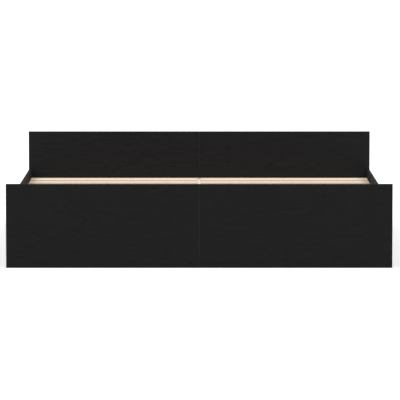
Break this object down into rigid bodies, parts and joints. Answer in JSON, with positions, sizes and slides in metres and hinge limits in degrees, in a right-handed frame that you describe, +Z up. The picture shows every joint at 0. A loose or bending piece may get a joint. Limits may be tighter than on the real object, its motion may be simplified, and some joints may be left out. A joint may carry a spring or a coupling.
{
  "type": "platform bed with storage drawers",
  "caption": "Low platform bed frame with solid head and foot boards, slats across it and rolling storage drawers in both sides.",
  "frame": {"origin": "on the floor, under the middle of the bed", "axes": "+X to the right as seen from the foot end, +Y from the foot end to the head end, +Z up"},
  "size_m": [1.835, 2.035, 0.5],
  "materials": {
    "black_board": "matte",
    "black_hardboard": "matte",
    "slat_wood": "satin",
    "wheel_plastic": "satin"
  },
  "bodies": {
    "bed_frame": {"headboard_left": "black_board", "headboard_right": "black_board", "footboard_left": "black_board", "footboard_right": "black_board", "side_rail_left": "black_board", "side_rail_right": "black_board", "slat_ledge_left": "black_board", "slat_ledge_right": "black_board", "centre_board": "black_board", "cross_partition": "black_board", "slat_01": "slat_wood", "slat_02": "slat_wood", "slat_03": "slat_wood", "slat_04": "slat_wood", "slat_05": "slat_wood", "slat_06": "slat_wood", "slat_07": "slat_wood", "slat_08": "slat_wood", "slat_09": "slat_wood", "slat_10": "slat_wood", "slat_11": "slat_wood", "slat_12": "slat_wood", "slat_13": "slat_wood", "slat_14": "slat_wood"},
    "drawer_left_foot": {"drawer_left_foot_front": "black_board", "drawer_left_foot_side_a": "black_board", "drawer_left_foot_side_b": "black_board", "drawer_left_foot_back": "black_board", "drawer_left_foot_bottom": "black_hardboard"},
    "drawer_left_foot_wheel_1": {"drawer_left_foot_wheel_1": "wheel_plastic"},
    "drawer_left_foot_wheel_2": {"drawer_left_foot_wheel_2": "wheel_plastic"},
    "drawer_left_foot_wheel_3": {"drawer_left_foot_wheel_3": "wheel_plastic"},
    "drawer_left_foot_wheel_4": {"drawer_left_foot_wheel_4": "wheel_plastic"},
    "drawer_left_head": {"drawer_left_head_front": "black_board", "drawer_left_head_side_a": "black_board", "drawer_left_head_side_b": "black_board", "drawer_left_head_back": "black_board", "drawer_left_head_bottom": "black_hardboard"},
    "drawer_left_head_wheel_1": {"drawer_left_head_wheel_1": "wheel_plastic"},
    "drawer_left_head_wheel_2": {"drawer_left_head_wheel_2": "wheel_plastic"},
    "drawer_left_head_wheel_3": {"drawer_left_head_wheel_3": "wheel_plastic"},
    "drawer_left_head_wheel_4": {"drawer_left_head_wheel_4": "wheel_plastic"},
    "drawer_right_foot": {"drawer_right_foot_front": "black_board", "drawer_right_foot_side_a": "black_board", "drawer_right_foot_side_b": "black_board", "drawer_right_foot_back": "black_board", "drawer_right_foot_bottom": "black_hardboard"},
    "drawer_right_foot_wheel_1": {"drawer_right_foot_wheel_1": "wheel_plastic"},
    "drawer_right_foot_wheel_2": {"drawer_right_foot_wheel_2": "wheel_plastic"},
    "drawer_right_foot_wheel_3": {"drawer_right_foot_wheel_3": "wheel_plastic"},
    "drawer_right_foot_wheel_4": {"drawer_right_foot_wheel_4": "wheel_plastic"},
    "drawer_right_head": {"drawer_right_head_front": "black_board", "drawer_right_head_side_a": "black_board", "drawer_right_head_side_b": "black_board", "drawer_right_head_back": "black_board", "drawer_right_head_bottom": "black_hardboard"},
    "drawer_right_head_wheel_1": {"drawer_right_head_wheel_1": "wheel_plastic"},
    "drawer_right_head_wheel_2": {"drawer_right_head_wheel_2": "wheel_plastic"},
    "drawer_right_head_wheel_3": {"drawer_right_head_wheel_3": "wheel_plastic"},
    "drawer_right_head_wheel_4": {"drawer_right_head_wheel_4": "wheel_plastic"}
  },
  "joints": [
    {"name": "drawer_left_foot_slide", "type": "slide", "parent": "bed_frame", "child": "drawer_left_foot", "axis": [-1, 0, 0], "range_m": [0, 0.6]},
    {"name": "drawer_left_foot_wheel_1_roll", "type": "hinge", "parent": "drawer_left_foot", "child": "drawer_left_foot_wheel_1", "pos_m": [-0.8325, -0.0345, 0.02], "axis": [0, 1, 0], "continuous": true},
    {"name": "drawer_left_foot_wheel_2_roll", "type": "hinge", "parent": "drawer_left_foot", "child": "drawer_left_foot_wheel_2", "pos_m": [-0.2725, -0.0345, 0.02], "axis": [0, 1, 0], "continuous": true},
    {"name": "drawer_left_foot_wheel_3_roll", "type": "hinge", "parent": "drawer_left_foot", "child": "drawer_left_foot_wheel_3", "pos_m": [-0.8325, -0.9755, 0.02], "axis": [0, 1, 0], "continuous": true},
    {"name": "drawer_left_foot_wheel_4_roll", "type": "hinge", "parent": "drawer_left_foot", "child": "drawer_left_foot_wheel_4", "pos_m": [-0.2725, -0.9755, 0.02], "axis": [0, 1, 0], "continuous": true},
    {"name": "drawer_left_head_slide", "type": "slide", "parent": "bed_frame", "child": "drawer_left_head", "axis": [-1, 0, 0], "range_m": [0, 0.6]},
    {"name": "drawer_left_head_wheel_1_roll", "type": "hinge", "parent": "drawer_left_head", "child": "drawer_left_head_wheel_1", "pos_m": [-0.8325, 0.9755, 0.02], "axis": [0, 1, 0], "continuous": true},
    {"name": "drawer_left_head_wheel_2_roll", "type": "hinge", "parent": "drawer_left_head", "child": "drawer_left_head_wheel_2", "pos_m": [-0.2725, 0.9755, 0.02], "axis": [0, 1, 0], "continuous": true},
    {"name": "drawer_left_head_wheel_3_roll", "type": "hinge", "parent": "drawer_left_head", "child": "drawer_left_head_wheel_3", "pos_m": [-0.8325, 0.0345, 0.02], "axis": [0, 1, 0], "continuous": true},
    {"name": "drawer_left_head_wheel_4_roll", "type": "hinge", "parent": "drawer_left_head", "child": "drawer_left_head_wheel_4", "pos_m": [-0.2725, 0.0345, 0.02], "axis": [0, 1, 0], "continuous": true},
    {"name": "drawer_right_foot_slide", "type": "slide", "parent": "bed_frame", "child": "drawer_right_foot", "axis": [1, 0, 0], "range_m": [0, 0.6]},
    {"name": "drawer_right_foot_wheel_1_roll", "type": "hinge", "parent": "drawer_right_foot", "child": "drawer_right_foot_wheel_1", "pos_m": [0.8325, -0.9755, 0.02], "axis": [0, 1, 0], "continuous": true},
    {"name": "drawer_right_foot_wheel_2_roll", "type": "hinge", "parent": "drawer_right_foot", "child": "drawer_right_foot_wheel_2", "pos_m": [0.2725, -0.9755, 0.02], "axis": [0, 1, 0], "continuous": true},
    {"name": "drawer_right_foot_wheel_3_roll", "type": "hinge", "parent": "drawer_right_foot", "child": "drawer_right_foot_wheel_3", "pos_m": [0.8325, -0.0345, 0.02], "axis": [0, 1, 0], "continuous": true},
    {"name": "drawer_right_foot_wheel_4_roll", "type": "hinge", "parent": "drawer_right_foot", "child": "drawer_right_foot_wheel_4", "pos_m": [0.2725, -0.0345, 0.02], "axis": [0, 1, 0], "continuous": true},
    {"name": "drawer_right_head_slide", "type": "slide", "parent": "bed_frame", "child": "drawer_right_head", "axis": [1, 0, 0], "range_m": [0, 0.6]},
    {"name": "drawer_right_head_wheel_1_roll", "type": "hinge", "parent": "drawer_right_head", "child": "drawer_right_head_wheel_1", "pos_m": [0.8325, 0.0345, 0.02], "axis": [0, 1, 0], "continuous": true},
    {"name": "drawer_right_head_wheel_2_roll", "type": "hinge", "parent": "drawer_right_head", "child": "drawer_right_head_wheel_2", "pos_m": [0.2725, 0.0345, 0.02], "axis": [0, 1, 0], "continuous": true},
    {"name": "drawer_right_head_wheel_3_roll", "type": "hinge", "parent": "drawer_right_head", "child": "drawer_right_head_wheel_3", "pos_m": [0.8325, 0.9755, 0.02], "axis": [0, 1, 0], "continuous": true},
    {"name": "drawer_right_head_wheel_4_roll", "type": "hinge", "parent": "drawer_right_head", "child": "drawer_right_head_wheel_4", "pos_m": [0.2725, 0.9755, 0.02], "axis": [0, 1, 0], "continuous": true}
  ],
  "couplings": [
    {"joint": "drawer_left_foot_wheel_1_roll", "follows": "drawer_left_foot_slide", "rad_per_m": -50},
    {"joint": "drawer_left_foot_wheel_2_roll", "follows": "drawer_left_foot_slide", "rad_per_m": -50},
    {"joint": "drawer_left_foot_wheel_3_roll", "follows": "drawer_left_foot_slide", "rad_per_m": -50},
    {"joint": "drawer_left_foot_wheel_4_roll", "follows": "drawer_left_foot_slide", "rad_per_m": -50},
    {"joint": "drawer_left_head_wheel_1_roll", "follows": "drawer_left_head_slide", "rad_per_m": -50},
    {"joint": "drawer_left_head_wheel_2_roll", "follows": "drawer_left_head_slide", "rad_per_m": -50},
    {"joint": "drawer_left_head_wheel_3_roll", "follows": "drawer_left_head_slide", "rad_per_m": -50},
    {"joint": "drawer_left_head_wheel_4_roll", "follows": "drawer_left_head_slide", "rad_per_m": -50},
    {"joint": "drawer_right_foot_wheel_1_roll", "follows": "drawer_right_foot_slide", "rad_per_m": 50},
    {"joint": "drawer_right_foot_wheel_2_roll", "follows": "drawer_right_foot_slide", "rad_per_m": 50},
    {"joint": "drawer_right_foot_wheel_3_roll", "follows": "drawer_right_foot_slide", "rad_per_m": 50},
    {"joint": "drawer_right_foot_wheel_4_roll", "follows": "drawer_right_foot_slide", "rad_per_m": 50},
    {"joint": "drawer_right_head_wheel_1_roll", "follows": "drawer_right_head_slide", "rad_per_m": 50},
    {"joint": "drawer_right_head_wheel_2_roll", "follows": "drawer_right_head_slide", "rad_per_m": 50},
    {"joint": "drawer_right_head_wheel_3_roll", "follows": "drawer_right_head_slide", "rad_per_m": 50},
    {"joint": "drawer_right_head_wheel_4_roll", "follows": "drawer_right_head_slide", "rad_per_m": 50}
  ]
}
